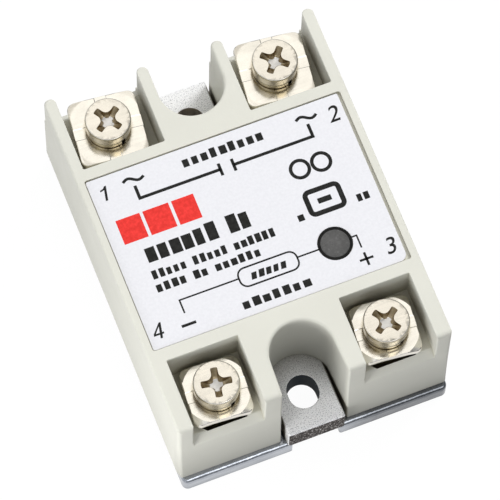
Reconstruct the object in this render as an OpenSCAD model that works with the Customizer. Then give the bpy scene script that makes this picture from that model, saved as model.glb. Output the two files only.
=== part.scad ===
// Solid state relay, panel mount, two load terminals and two signal terminals.
// Frame: origin at the centre of the mounting face, +X across, +Y towards the load end, +Z up.

/* [Housing] */
// Width across the long side walls
body_w = 44.7; // [44.4:0.1:46]
// Height of the top face above the mounting face
body_top = 23; // [22.6:0.1:24]
// Distance of the signal end wall from the centre
near_end = 28.45; // [28.2:0.05:28.8]
// Distance of the load end wall from the centre
far_end = 29.7; // [29.4:0.1:30]
// Thickness of the outer walls around the inside
wall = 2; // [1.8:0.1:2.2]
// Thickness of the roof under the label
roof = 1.4; // [1.2:0.1:1.6]
// Radius of the upright outer corners
corner_r = 0.4; // [0.2:0.1:1.4]
// How far the signal end wall leans out at its foot
end_lean = 0.55; // [0:0.05:0.6]

/* [Base] */
// Length of the plated base plate
base_l = 60.2; // [59.4:0.2:60.6]
// Width of the plated base plate
base_w = 44; // [43.4:0.1:44.2]
// Thickness of the plated base plate
base_t = 3; // [2.8:0.1:3.2]
// Radius of the rolled upper edge at both ends
rolled_r = 0.7; // [0.4:0.1:1.2]
// Thickness of the heat spreader block
spreader_t = 4.5; // [4.3:0.1:4.6]
// Width of the spreader tongues in the two notches
tongue_w = 9.4; // [9:0.1:9.6]
// Distance between the two mounting holes
hole_pitch = 48; // [47.6:0.1:48.4]
// Width of a mounting hole
hole_w = 4.8; // [4.4:0.1:5]
// Length of a mounting hole along the body
hole_l = 5.4; // [5:0.1:5.8]
// Width of the open slot under each mounting hole
slot_w = 7.8; // [7:0.1:8]

/* [Label] */
// Width of the label recess
label_w = 42.2; // [41.6:0.1:42.4]
// Length of the label recess
label_l = 29.7; // [29:0.1:30]
// Depth of the label recess
label_depth = 0.6; // [0.5:0.05:0.7]
// Thickness of the label
label_t = 0.3; // [0.2:0.05:0.4]
// Diameter of the indicator window
window_d = 5.4; // [5:0.1:5.8]

/* [Terminals] */
// Sideways distance of every terminal screw from the centre
term_x = 13.85; // [13.8:0.05:13.9]
// Distance of the signal terminals from the centre
near_term_y = 22.55; // [22.5:0.05:22.6]
// Distance of the load terminals from the centre
far_term_y = 23.65; // [23.6:0.05:23.7]
// Side of the square clamp plates at the signal end
near_clamp = 9.6; // [9.2:0.1:9.8]
// Side of the square clamp plates at the load end
far_clamp = 11; // [10.6:0.1:11.2]
// Diameter of the screw heads
head_d = 7.2; // [6.8:0.1:7.4]
// Height of the screw heads
head_h = 2.4; // [2.2:0.1:2.6]
// Thread diameter
thread_d = 4; // [4:0.1:4]
// Length of the screws below the head
shank_l = 8; // [7:0.5:8]

/* [Hidden] */
$fn = 64;
eps = 0.01;
cut = 1;

// Heights of the shell
half_w = body_w / 2;
sill_front = 14.4;
sill_z = 15.7;
sill_cut = sill_z - sill_front;
recess_z = 11.5;
duct_z = 10;
label_floor = body_top - label_depth;
roof_z = label_floor - roof;
inner_w = body_w - 2 * wall - 0.35;
inner_l = 30.4;

// Plan of the terminal pockets: inner side, outer side and back wall
near_in = 8.25;
near_out = 19.75;
near_back = 16.95;
far_in = 7.1;
far_out = 20.45;
far_back = 16.75;

// Mounting notches: centre, radius at the round end, half width at the mouth
near_notch_y = 23;
near_notch_r = 5.12;
near_mouth = 5.4;
far_notch_y = 24.2;
far_notch_r = 5.2;
tongue_room = 5.02;

// Terminal recesses that hold the contact blocks
near_recess_w = 8.4;
near_recess_y = [18, 27.25];
far_recess_w = 9.8;
far_recess_y = [18.4, 28.1];
recess_chamfer = 1;

// Terminal stack, from the contact block up
contact_top = 17.45;
clamp_bottom = 17.5;
clamp_t = 1;
washer_h = 1.05;
running_gap = 0.05;
clamp_top = clamp_bottom + clamp_t;
head_z = clamp_top + washer_h + running_gap;
spin = [-6.3, -6.6, -5.6, -4];
cross_turn = [34, 49, 35, -10];

// Power stage
spreader_top = base_t + spreader_t;
spreader_w = 39;
spreader_l = 29.2;
ceramic = [30.4, 22, 0.65];
pad = [13.5, 20, 0.3];
pad_gap = 2;
chip = [8, 8, 0.4];
chip_x = 7.6;
chip_y = 4;
pad_top = spreader_top + ceramic.z + pad.z;
chip_top = pad_top + chip.z;
clip_t = 0.6;
strap_t = 0.8;
strap_w = 4.5;
strap_x = 12.05;
strap_y = 20.6;
lead_w = 3;
lead_x = 13.8;
lead_y = 12;
lead_z = 8.9;
lead_up_y = 19.7;

// Control stage
board = [37, 27, 1.4];
board_z = 13;
board_top = board_z + board.z;
post_at = [16.8, 11.8];
window_at = [11.1, -8.35];
pot_top = 12;
leg_t = 0.64;

// Terminal positions, numbered 1 to 4, and whether each is at the load end
term = [[-term_x, far_term_y], [term_x, far_term_y], [term_x, -near_term_y], [-term_x, -near_term_y]];

function is_far(n) = n <= 2;

module round_rect(w, l, r) {
    square([w - 2 * r, l], center = true);
    square([w, l - 2 * r], center = true);
    for (x = [-1, 1], y = [-1, 1]) translate([x * (w / 2 - r), y * (l / 2 - r)]) circle(r);
}

module both_sides() {
    children();
    mirror([1, 0, 0]) children();
}

module box(x0, x1, y0, y1, z0, z1) {
    translate([x0, y0, z0]) cube([x1 - x0, y1 - y0, z1 - z0]);
}

module near_notch() {
    translate([0, -near_notch_y]) circle(near_notch_r);
    polygon([
        [-near_notch_r, -near_notch_y], [near_notch_r, -near_notch_y],
        [near_mouth, -near_end - eps], [near_mouth, -near_end - cut],
        [-near_mouth, -near_end - cut], [-near_mouth, -near_end - eps]
    ]);
}

module far_notch() {
    translate([0, far_notch_y]) circle(far_notch_r);
    translate([-far_notch_r, far_notch_y]) square([2 * far_notch_r, far_end - far_notch_y + cut]);
}

// One wall of the load end, from the pocket's back to a round tip
module tip_wall(x0, x1) {
    r = (x1 - x0) / 2;
    translate([x0, far_back - eps]) square([2 * r, far_end - far_back - r + eps]);
    translate([x0 + r, far_end - r]) circle(r);
}

// Plan of the housing above the sills
module upper_plan() {
    difference() {
        union() {
            translate([-half_w, -near_back]) square([body_w, near_back + far_back]);
            translate([-near_in, -near_end]) square([2 * near_in, near_end - near_back + eps]);
            translate([-far_in, far_back - eps]) square([2 * far_in, far_notch_y - far_back]);
            both_sides() {
                tip_wall(far_out, half_w);
                tip_wall(far_notch_r, far_in);
                translate([near_out, -near_end + corner_r])
                    square([half_w - near_out, near_end - near_back - corner_r + eps]);
                translate([near_out, -near_end]) square([half_w - near_out - corner_r, corner_r + eps]);
                translate([half_w - corner_r, -near_end + corner_r]) circle(corner_r);
            }
        }
        near_notch();
        far_notch();
    }
}

// Plan of the housing below the sills
module lower_plan() {
    difference() {
        translate([0, (far_end - near_end) / 2]) round_rect(body_w, far_end + near_end, corner_r);
        near_notch();
        far_notch();
    }
}

module recess_plan(w, y0, y1) {
    c = recess_chamfer;
    translate([term_x, 0]) polygon([
        [-w / 2, y0], [w / 2, y0], [w / 2, y1 - c], [w / 2 - c, y1], [c - w / 2, y1], [-w / 2, y1 - c]
    ]);
}

// Bevel along the outer edge of a sill, at the end face y
module sill_bevel(x0, x1, y) {
    translate([x0, y, sill_z]) rotate([90, 0, 90]) linear_extrude(x1 - x0)
        polygon([[-cut, -sill_cut - cut], [sill_cut + eps, eps], [-cut, eps]]);
}

// Leaning foot of the signal end wall on one side of the notch
module end_foot() {
    translate([near_mouth, -near_end, 0]) rotate([90, 0, 90]) linear_extrude(half_w - near_mouth)
        polygon([[0, sill_front], [-end_lean, base_t], [wall / 2, base_t], [wall / 2, sill_front]]);
}

module housing() color([0.91, 0.91, 0.86]) difference() {
    union() {
        difference() {
            union() {
                translate([0, 0, base_t]) linear_extrude(sill_z - base_t) lower_plan();
                both_sides() end_foot();
                translate([0, 0, sill_z - eps]) linear_extrude(body_top - sill_z + eps) upper_plan();
            }
            // the inside, open towards the base
            box(-inner_w / 2, inner_w / 2, -inner_l / 2, inner_l / 2, base_t - cut, roof_z);
            // the ducts under the terminals
            both_sides() {
                box(near_in + 1, inner_w / 2, -near_end + wall, -inner_l / 2 + eps, base_t - cut, duct_z);
                box(far_in + 1.5, inner_w / 2, inner_l / 2 - eps, far_end - wall, base_t - cut, duct_z);
            }
        }
        // posts that hold the circuit board
        for (x = [-1, 1], y = [-1, 1]) translate([x * post_at.x, y * post_at.y, board_top])
            cylinder(h = roof_z - board_top + eps, r = 1.4);
    }
    // label recess and window hole
    translate([0, 0, label_floor]) linear_extrude(label_depth + cut) round_rect(label_w, label_l, 0.4);
    translate([window_at.x, window_at.y, roof_z - cut]) cylinder(h = roof + 2 * cut, d = window_d - 0.6);
    both_sides() {
        // contact recesses and their lead slots
        translate([0, 0, recess_z]) linear_extrude(body_top) {
            mirror([0, 1]) recess_plan(near_recess_w, near_recess_y[0], near_recess_y[1]);
            recess_plan(far_recess_w, far_recess_y[0], far_recess_y[1]);
        }
        box(strap_x - strap_w / 2 - 0.2, strap_x + strap_w / 2 + 0.2,
            strap_y - 0.6, strap_y + 0.6, duct_z - cut, recess_z + cut);
        box(lead_x - lead_w / 2 - 0.2, lead_x + lead_w / 2 + 0.2,
            -lead_up_y - 0.6, -lead_up_y + 0.6, duct_z - cut, recess_z + cut);
        // bevelled sills
        sill_bevel(near_in, near_out, -near_end);
        mirror([0, 1, 0]) sill_bevel(far_in, far_out, -far_end);
    }
    // room for the spreader tongues under the round ends of the notches
    box(-tongue_room, tongue_room, -near_notch_y, far_notch_y, base_t - cut, spreader_top + 0.15);
}

module base_plate() color([0.72, 0.74, 0.78]) difference() {
    intersection() {
        linear_extrude(base_t) round_rect(base_w, base_l, 1);
        translate([-base_w / 2 - cut, 0, 0]) rotate([90, 0, 90]) linear_extrude(base_w + 2 * cut) {
            translate([-base_l / 2, 0]) square([base_l, base_t - rolled_r]);
            translate([rolled_r - base_l / 2, 0]) square([base_l - 2 * rolled_r, base_t]);
            for (y = [-1, 1]) translate([y * (base_l / 2 - rolled_r), base_t - rolled_r]) circle(rolled_r);
        }
    }
    for (y = [-1, 1]) {
        translate([0, y * hole_pitch / 2, -cut]) cylinder(h = base_t + 2 * cut, d = slot_w);
        translate([-slot_w / 2, y > 0 ? hole_pitch / 2 : -base_l / 2 - cut, -cut])
            cube([slot_w, (base_l - hole_pitch) / 2 + cut, base_t + 2 * cut]);
    }
}

module heat_spreader() color([0.75, 0.75, 0.76]) difference() {
    translate([0, 0, base_t]) union() {
        translate([-spreader_w / 2, -spreader_l / 2, 0]) cube([spreader_w, spreader_l, spreader_t]);
        translate([-tongue_w / 2, -base_l / 2, 0]) cube([tongue_w, base_l, spreader_t]);
    }
    for (y = [-1, 1], e = [-1, 1])
        translate([0, y * hole_pitch / 2 + e * (hole_l - hole_w) / 2, base_t - cut])
            cylinder(h = spreader_t + 2 * cut, d = hole_w);
    for (y = [-1, 1]) translate([-hole_w / 2, y * hole_pitch / 2 - (hole_l - hole_w) / 2, base_t - cut])
        cube([hole_w, hole_l - hole_w, spreader_t + 2 * cut]);
}

module label() color([0.95, 0.95, 0.97]) difference() {
    translate([0, 0, label_floor]) linear_extrude(label_t) round_rect(label_w - 0.3, label_l - 0.3, 0.3);
    translate([window_at.x, window_at.y, label_floor - cut])
        cylinder(h = label_t + 2 * cut, d = window_d + 0.1);
}

module led_window() color([0.12, 0.1, 0.12]) translate([window_at.x, window_at.y, 0]) {
    translate([0, 0, label_floor]) cylinder(h = label_t + 0.1, d = window_d);
    translate([0, 0, roof_z]) cylinder(h = roof + eps, d = window_d - 0.7);
}

// Tapped block that one terminal screw runs in
module terminal_contact(n) color([0.8, 0.79, 0.74]) difference() {
    w = is_far(n) ? 8.6 : 7.6;
    l = is_far(n) ? 7.8 : 7;
    translate([term[n - 1].x, term[n - 1].y, 0]) union() {
        translate([-w / 2, -l / 2, recess_z]) cube([w, l, contact_top - recess_z - 1.5]);
        translate([-w / 2, -l / 2, contact_top - 1.5 - eps]) linear_extrude(1.5 + eps)
            translate([w / 2, l / 2]) round_rect(w, l, 1.2);
    }
    translate([term[n - 1].x, term[n - 1].y, recess_z - cut])
        cylinder(h = contact_top - recess_z + 2 * cut, d = thread_d);
}

// Square wire clamp with a sunk cross between four raised fields
module clamp_plate(n) {
    side = is_far(n) ? far_clamp : near_clamp;
    band = 1.9;
    step = 0.15;
    color([0.86, 0.85, 0.8]) translate([term[n - 1].x, term[n - 1].y, clamp_bottom])
        rotate([0, 0, spin[n - 1]]) difference() {
            linear_extrude(clamp_t) round_rect(side, side, 1.3);
            for (a = [0, 90]) rotate([0, 0, a])
                translate([-side, -band / 2, clamp_t - step]) cube([2 * side, band, cut]);
            translate([0, 0, -cut]) cylinder(h = clamp_t + 2 * cut, d = thread_d + 0.08);
        }
}

// Split spring washer
module lock_washer(n) color([0.82, 0.81, 0.76]) {
    translate([term[n - 1].x, term[n - 1].y, clamp_top]) rotate([0, 0, spin[n - 1] - 60]) difference() {
        cylinder(h = washer_h, d = head_d - 0.3);
        translate([0, 0, -cut]) cylinder(h = washer_h + 2 * cut, d = thread_d + 0.08);
        translate([0, -0.4, -cut]) cube([head_d, 0.8, washer_h + 2 * cut]);
    }
}

// Pan head screw with a cross recess; the thread is a plain shank with running clearance
module terminal_screw(n) {
    bevel = 0.35;
    slot_l = 5;
    slot_t = 1.15;
    slot_depth = 1.3;
    shank_d = thread_d - 2 * running_gap;
    point = 0.5;
    color([0.86, 0.85, 0.8]) translate([term[n - 1].x, term[n - 1].y, head_z])
        rotate([0, 0, cross_turn[n - 1]]) difference() {
            union() {
                cylinder(h = head_h - bevel, d = head_d);
                translate([0, 0, head_h - bevel - eps])
                    cylinder(h = bevel + eps, d1 = head_d, d2 = head_d - 2 * bevel);
                translate([0, 0, point - shank_l]) cylinder(h = shank_l - point + eps, d = shank_d);
                translate([0, 0, -shank_l]) cylinder(h = point + eps, d1 = shank_d - 2 * point, d2 = shank_d);
            }
            for (a = [0, 90]) rotate([0, 0, a]) translate([-slot_l / 2, -slot_t / 2, head_h - slot_depth])
                cube([slot_l, slot_t, slot_depth + cut]);
        }
}

module ceramic_substrate() color([0.93, 0.93, 0.9])
    box(-ceramic.x / 2, ceramic.x / 2, -ceramic.y / 2, ceramic.y / 2, spreader_top, spreader_top + ceramic.z);

module copper_pads() color([0.8, 0.5, 0.32]) both_sides()
    box(pad_gap / 2, pad_gap / 2 + pad.x, -pad.y / 2, pad.y / 2, pad_top - pad.z, pad_top);

module thyristor_chips() color([0.35, 0.36, 0.4]) for (s = [-1, 1])
    translate([s * chip_x - chip.x / 2, -s * chip_y - chip.y / 2, pad_top]) cube(chip);

// Copper clips that join each chip's top to the other chip's pad
module cathode_clips() color([0.8, 0.5, 0.32]) for (a = [0, 180]) rotate([0, 0, a]) {
    box(-chip_x - 2.5, 3.8, 2, 6, chip_top, chip_top + clip_t);
    box(2.4, 3.8, 2, 6, pad_top, chip_top + eps);
}

module gate_pins() color([0.8, 0.78, 0.6]) for (s = [-1, 1])
    translate([s * (chip_x + 3), -s * (chip_y + 3), chip_top]) cylinder(h = board_z - chip_top, r = 0.4);

// Copper strap from a power pad out to a load terminal; side is -1 or 1
module ac_strap(side) color([0.8, 0.5, 0.32]) translate([side * strap_x, 0, 0]) {
    near = chip_y + chip.y / 2 + 0.3;
    far = strap_y + strap_t / 2;
    box(-strap_w / 2, strap_w / 2, near, far, pad_top, pad_top + strap_t);
    box(-strap_w / 2, strap_w / 2, far - strap_t, far, pad_top, recess_z);
}

// Strip from the circuit board out to a signal terminal; side is -1 or 1
module dc_lead(side) color([0.8, 0.79, 0.74]) translate([side * lead_x, 0, 0]) {
    near = -lead_y + strap_t / 2;
    far = -lead_up_y - strap_t / 2;
    box(-lead_w / 2, lead_w / 2, near - strap_t, near, lead_z, board_z);
    box(-lead_w / 2, lead_w / 2, far, near, lead_z, lead_z + strap_t);
    box(-lead_w / 2, lead_w / 2, far, far + strap_t, lead_z, recess_z);
}

module potting_compound() color([0.16, 0.16, 0.17]) difference() {
    box(-inner_w / 2 + 0.1, inner_w / 2 - 0.1, -inner_l / 2 + 0.1, inner_l / 2 - 0.1, spreader_top, pot_top);
    ceramic_substrate();
    copper_pads();
    thyristor_chips();
    cathode_clips();
    gate_pins();
    for (s = [-1, 1]) {
        ac_strap(s);
        dc_lead(s);
    }
}

module circuit_board() color([0.1, 0.4, 0.22])
    translate([0, 0, board_z]) linear_extrude(board.z) round_rect(board.x, board.y, 1);

module leg(x, y, h) {
    box(x - leg_t / 2, x + leg_t / 2, y - leg_t / 2, y + leg_t / 2, board_top, board_top + h);
}

// Small dual in-line package, lying across the board
module optocoupler() color([0.14, 0.14, 0.15]) translate([2, -5, 0]) {
    box(-3.2, 3.2, -4.4, 4.4, board_top + 0.6, board_top + 4.1);
    for (x = [-1, 1], y = [-1, 0, 1]) box(x * 3.6 - 0.4, x * 3.6 + 0.4, y * 2.54 - 0.3, y * 2.54 + 0.3,
        board_top, board_top + 2.4);
}

module input_transistor() color([0.13, 0.13, 0.14]) translate([-8, -9, 0]) {
    difference() {
        translate([0, 0, board_top + 1.4]) cylinder(h = 4.4, r = 2.3);
        box(-3, 3, 1.2, 4, board_top + 1, board_top + 7);
    }
    for (x = [-1.27, 0, 1.27]) leg(x, 0, 1.6);
}

// Resistor lying along X on two legs
module axial_part(x, y, r, l) {
    z = board_top + r + 0.3;
    translate([x - l / 2, y, z]) rotate([0, 90, 0]) cylinder(h = l, r = r);
    translate([x - l / 2 - 0.9, y, z]) rotate([0, 90, 0]) cylinder(h = l + 1.8, d = leg_t - 0.14);
    for (s = [-1, 1]) leg(x + s * (l / 2 + 0.9), y, r + 0.3 + leg_t / 2);
}

module input_resistors() color([0.72, 0.6, 0.42]) for (y = [-2.6, 1]) axial_part(-10.4, y, 1.15, 6);

module gate_resistors() color([0.72, 0.6, 0.42]) for (y = [2.6, 6.2]) axial_part(9.6, y, 1.15, 6);

module snubber_resistor() color([0.55, 0.62, 0.68]) axial_part(7, 10.4, 1.9, 9);

module snubber_capacitor() color([0.72, 0.16, 0.12]) translate([-8.2, 8.2, 0]) {
    box(-6.4, 6.4, -2.6, 2.6, board_top + 0.4, board_top + 6.2);
    for (x = [-5, 5]) leg(x, 0, 0.5);
}

module indicator_led() color([0.8, 0.15, 0.12]) translate([window_at.x, window_at.y, 0]) {
    translate([0, 0, board_top + 0.8]) cylinder(h = 1, r = 1.9);
    translate([0, 0, board_top + 1.8 - eps]) cylinder(h = 2.6 + eps, r = 1.5);
    translate([0, 0, board_top + 4.4]) sphere(r = 1.5);
    for (x = [-1, 1]) leg(x, 0, 1);
}

housing();
base_plate();
heat_spreader();
label();
led_window();
for (n = [1:4]) {
    terminal_contact(n);
    clamp_plate(n);
    lock_washer(n);
    terminal_screw(n);
}
ceramic_substrate();
copper_pads();
thyristor_chips();
cathode_clips();
gate_pins();
ac_strap(-1);  // ac_strap_1
ac_strap(1);  // ac_strap_2
dc_lead(1);  // dc_lead_plus
dc_lead(-1);  // dc_lead_minus
potting_compound();
circuit_board();
optocoupler();
input_transistor();
input_resistors();
gate_resistors();
snubber_resistor();
snubber_capacitor();
indicator_led();
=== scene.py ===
import math
import random

import bmesh
import bpy
from mathutils import Matrix, Vector


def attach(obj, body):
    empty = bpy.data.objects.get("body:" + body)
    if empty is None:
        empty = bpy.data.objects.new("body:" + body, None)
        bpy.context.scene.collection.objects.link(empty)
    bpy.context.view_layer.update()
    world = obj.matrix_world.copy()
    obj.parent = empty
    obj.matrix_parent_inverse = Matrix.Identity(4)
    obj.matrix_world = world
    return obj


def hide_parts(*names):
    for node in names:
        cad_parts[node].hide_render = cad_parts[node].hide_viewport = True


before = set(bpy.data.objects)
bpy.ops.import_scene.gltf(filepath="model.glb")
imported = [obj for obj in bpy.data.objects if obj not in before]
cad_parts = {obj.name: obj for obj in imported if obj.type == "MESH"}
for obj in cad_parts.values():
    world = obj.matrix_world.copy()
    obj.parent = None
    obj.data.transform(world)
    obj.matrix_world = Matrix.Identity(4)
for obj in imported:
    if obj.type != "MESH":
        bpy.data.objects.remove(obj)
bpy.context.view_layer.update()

MM = 0.001
ROOT = "relay_body"
TOP = 23.0
NEAR_END, FAR_END = -28.45, 29.7
NEAR_MOUTH = 5.4
LABEL_TOP = 22.7
TERMINALS = {1: (-13.85, 23.65), 2: (13.85, 23.65), 3: (13.85, -22.55), 4: (-13.85, -22.55)}
CLAMP_SIDE = {1: 11.0, 2: 11.0, 3: 9.6, 4: 9.6}
CLAMP_SLOPE = {1: 0.18, 2: 0.18, 3: 0.42, 4: 0.42}
CLAMP_TURN = {1: -6.3, 2: -6.6, 3: -5.6, 4: -4.0}
CROSS_TURN = {1: 34, 2: 49, 3: 35, 4: -10}
WINDOW = (11.1, -8.35)


# ---------------------------------------------------------------- materials

class Graph:
    """Short calls for the procedural nodes of one node tree."""

    def __init__(self, tree, space):
        self.nodes, self.links = tree.nodes, tree.links
        self.coord = self.nodes.new("ShaderNodeTexCoord").outputs[space]

    def mapped(self, scale=(1, 1, 1), turn=(0, 0, 0)):
        node = self.nodes.new("ShaderNodeMapping")
        node.inputs["Scale"].default_value = scale
        node.inputs["Rotation"].default_value = [math.radians(a) for a in turn]
        self.links.new(self.coord, node.inputs["Vector"])
        return node.outputs[0]

    def axis(self, name):
        node = self.nodes.new("ShaderNodeSeparateXYZ")
        self.links.new(self.coord, node.inputs[0])
        return node.outputs[name]

    def noise(self, scale, detail=3.0, rough=0.55, vector=None):
        node = self.nodes.new("ShaderNodeTexNoise")
        node.inputs["Scale"].default_value = scale
        node.inputs["Detail"].default_value = detail
        node.inputs["Roughness"].default_value = rough
        self.links.new(vector or self.coord, node.inputs["Vector"])
        return node.outputs["Fac"]

    def cells(self, scale):
        node = self.nodes.new("ShaderNodeTexVoronoi")
        node.inputs["Scale"].default_value = scale
        self.links.new(self.coord, node.inputs["Vector"])
        return node.outputs["Distance"]

    def ramp(self, fac, *stops):
        """stops are (position, colour) or (position, number)."""
        node = self.nodes.new("ShaderNodeValToRGB")
        elements = node.color_ramp.elements
        while len(elements) < len(stops):
            elements.new(0.5)
        for element, (position, value) in zip(elements, stops):
            element.position = position
            element.color = (value, value, value, 1) if isinstance(value, (int, float)) else (*value, 1)
        self.links.new(fac, node.inputs["Fac"])
        return node.outputs["Color"]

    def mix(self, fac, a, b, mode="MIX"):
        node = self.nodes.new("ShaderNodeMix")
        node.data_type = "RGBA"
        node.blend_type = mode
        for socket, value in ((node.inputs["Factor"], fac), (node.inputs[6], a), (node.inputs[7], b)):
            if isinstance(value, (int, float)):
                socket.default_value = value if socket.type == "VALUE" else (value, value, value, 1)
            elif isinstance(value, tuple):
                socket.default_value = (*value, 1)
            else:
                self.links.new(value, socket)
        return node.outputs[2]

    def math(self, operation, *values):
        node = self.nodes.new("ShaderNodeMath")
        node.operation = operation
        for socket, value in zip(node.inputs, values):
            if isinstance(value, (int, float)):
                socket.default_value = value
            else:
                self.links.new(value, socket)
        return node.outputs[0]

    def product(self, a, b):
        return self.mix(1.0, a, b, "MULTIPLY")

    def spread(self, fac, low, high):
        """From low to high over the usual range of a noise."""
        return self.ramp(fac, (0.3, low), (0.7, high))


class Shader(Graph):
    """A Principled material and the nodes that feed it."""

    def __init__(self, name):
        self.material = bpy.data.materials.new(name)
        self.material.use_nodes = True
        tree = self.material.node_tree
        tree.nodes.clear()
        super().__init__(tree, "Object")
        self.out = self.nodes.new("ShaderNodeOutputMaterial")
        self.bsdf = self.nodes.new("ShaderNodeBsdfPrincipled")
        self.links.new(self.bsdf.outputs[0], self.out.inputs[0])
        self.normal = None

    def set(self, **values):
        for key, value in values.items():
            self.bsdf.inputs[key.replace("_", " ")].default_value = value
        return self

    def feed(self, key, socket):
        self.links.new(socket, self.bsdf.inputs[key])

    def roughness(self, fac, low, high):
        self.feed("Roughness", self.spread(fac, low, high))

    def bump(self, height, distance, strength=1.0):
        node = self.nodes.new("ShaderNodeBump")
        node.inputs["Distance"].default_value = distance * MM
        node.inputs["Strength"].default_value = strength
        self.links.new(height, node.inputs["Height"])
        if self.normal:
            self.links.new(self.normal, node.inputs["Normal"])
        self.normal = node.outputs[0]
        self.links.new(self.normal, self.bsdf.inputs["Normal"])

    def occlusion(self, distance):
        node = self.nodes.new("ShaderNodeAmbientOcclusion")
        node.samples = 8
        node.inputs["Distance"].default_value = distance * MM
        return node.outputs["AO"]


def plastic_housing():
    """Matte moulded plastic, with painted shade in corners, down the end wall and inside the signal-end notch."""
    s = Shader("housing_plastic")
    tone = s.spread(s.noise(90, 4), (0.700, 0.695, 0.622), (0.728, 0.723, 0.648))
    # painted shade: corners and crevices of the housing made darker
    corner_shade = s.ramp(s.occlusion(4), (0.0, (0.60, 0.56, 0.45)), (0.7, (1.0, 1.0, 1.0)))
    scuff = s.ramp(s.noise(640, 7, 0.75), (0.68, 1.0), (0.75, 0.86))
    height = s.math("MULTIPLY", s.axis("Z"), 1 / (TOP * MM))
    along = s.math("MULTIPLY", s.axis("Y"), 1 / (NEAR_END * MM))
    across = s.math("ABSOLUTE", s.math("MULTIPLY", s.axis("X"), 1 / (NEAR_MOUTH * MM)))
    # painted shade: the signal end wall darker towards its foot
    end_wall_shade = s.mix(s.ramp(along, (0.93, 0.0), (0.99, 1.0)), 1.0, s.ramp(height, (0.13, 0.72), (0.62, 1.0)))
    # painted shade: the wall inside the signal-end notch darker, most near its foot
    in_notch = s.math("MULTIPLY", s.ramp(along, (0.55, 0.0), (0.60, 1.0)),
                      s.ramp(across, (0.99, 1.0), (1.0, 0.0)))
    notch_wall_shade = s.mix(in_notch, 1.0, s.ramp(height, (0.33, 0.58), (0.93, 0.80), (0.985, 1.0)))
    for layer in (corner_shade, s.product(end_wall_shade, notch_wall_shade), scuff):
        tone = s.product(tone, layer)
    s.feed("Base Color", tone)
    s.roughness(s.noise(300, 4), 0.44, 0.56)
    s.bump(s.mix(0.35, s.noise(2600, 2), s.noise(500, 3)), 0.035, 0.5)
    return s.set(IOR=1.47).material


def label_film():
    s = Shader("label_film")
    grain = s.noise(2300, 3, 0.6)
    s.feed("Base Color", s.ramp(grain, (0.35, (0.775, 0.775, 0.805)), (0.65, (0.815, 0.815, 0.845))))
    s.roughness(s.noise(160, 3), 0.42, 0.52)
    s.bump(grain, 0.03, 0.45)
    return s.set(IOR=1.45).material


def ink(name, color, rough):
    """Printed ink that thins out a little here and there."""
    s = Shader(name)
    edge = s.noise(1500, 4, 0.6)
    lighter = tuple(min(1.0, c * 1.25 + 0.012) for c in color)
    s.feed("Base Color", s.ramp(edge, (0.38, color), (0.72, lighter)))
    s.roughness(s.noise(700, 3), rough - 0.06, rough + 0.06)
    s.bump(edge, 0.015, 0.4)
    return s.set(Specular_IOR_Level=0.2).material


def nickel(name, color, rough=0.16, wave=0.10, reach=4.0):
    """Warm bright plating: a slightly uneven surface with cloudy patches and fine scratches, with painted shade in
    creases and near walls.
    """
    s = Shader(name)
    clouds = s.noise(260, 4, 0.6)
    dull = tuple(c * 0.84 for c in color)
    # painted shade: darker brown in creases and close to nearby parts and walls
    crease_shade = s.ramp(s.occlusion(reach), (0.25, (0.18, 0.14, 0.08)), (0.55, (0.64, 0.58, 0.44)), (0.80, 1.0))
    s.feed("Base Color", s.product(s.ramp(clouds, (0.3, dull), (0.62, color)), crease_shade))
    lines = s.noise(180, 3, 0.7, s.mapped((1, 14, 1), (0, 0, 35)))
    s.roughness(s.mix(0.5, clouds, lines), rough - 0.06, rough + 0.12)
    s.bump(s.noise(170, 2, 0.5), wave, 0.8)
    s.bump(s.mix(0.35, s.noise(620, 4, 0.6), lines), 0.02, 0.5)
    return s.set(Metallic=1.0).material


def plated_flange():
    """Bright cool plating, with painted shade in creases and towards +X."""
    s = Shader("plated_flange")
    clouds = s.noise(130, 4, 0.6, s.mapped((1, 1, 3)))
    # painted shade: a dark line where the flange meets the housing wall, and in other creases
    crease_shade = s.ramp(s.occlusion(2.5), (0.30, (0.25, 0.25, 0.26)), (0.62, 0.80), (0.85, 1.0))
    steel = s.spread(clouds, (0.42, 0.445, 0.49), (0.66, 0.69, 0.74))
    # painted shade: the +X side darker, as if it caught less light
    side = s.ramp(s.math("MULTIPLY", s.axis("X"), 0.05 / MM), (0.1, 1.0), (0.5, 0.38))
    s.feed("Base Color", s.product(s.product(steel, crease_shade), side))
    s.roughness(s.noise(500, 4, 0.7), 0.08, 0.20)
    s.bump(s.noise(420, 4, 0.6), 0.13, 0.9)
    s.bump(s.noise(1500, 3), 0.02, 0.5)
    return s.set(Metallic=1.0).material


def granular_metal():
    """Bare casting: bright specks over grey, rough as sugar."""
    s = Shader("granular_metal")
    grain = s.cells(5600)
    fine = s.noise(6400, 4, 0.75)
    speck = s.ramp(s.noise(5600, 3, 0.7), (0.36, (0.30, 0.30, 0.31)), (0.46, (0.92, 0.92, 0.94)), (0.55, 1.0))
    shade = s.ramp(s.occlusion(8), (0.22, (0.16, 0.14, 0.11)), (0.40, (0.55, 0.54, 0.51)), (0.52, 1.0))
    s.feed("Base Color", s.product(speck, shade))
    s.roughness(fine, 0.35, 0.70)
    s.bump(s.mix(0.5, grain, fine), 0.07, 0.7)
    return s.set(Metallic=0.1).material


def torn_metal():
    """The sawn end of the casting: dark brown with silver specks."""
    s = Shader("torn_metal")
    s.feed("Base Color", s.ramp(s.noise(3000, 3, 0.75), (0.50, (0.030, 0.024, 0.021)),
                                (0.58, (0.18, 0.155, 0.14)), (0.65, (0.90, 0.88, 0.87))))
    s.roughness(s.noise(1700, 3), 0.45, 0.8)
    s.bump(s.mix(0.5, s.cells(1700), s.noise(2600, 4, 0.75)), 0.16, 0.9)
    return s.set(Metallic=0.3, Specular_IOR_Level=0.3).material


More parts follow.
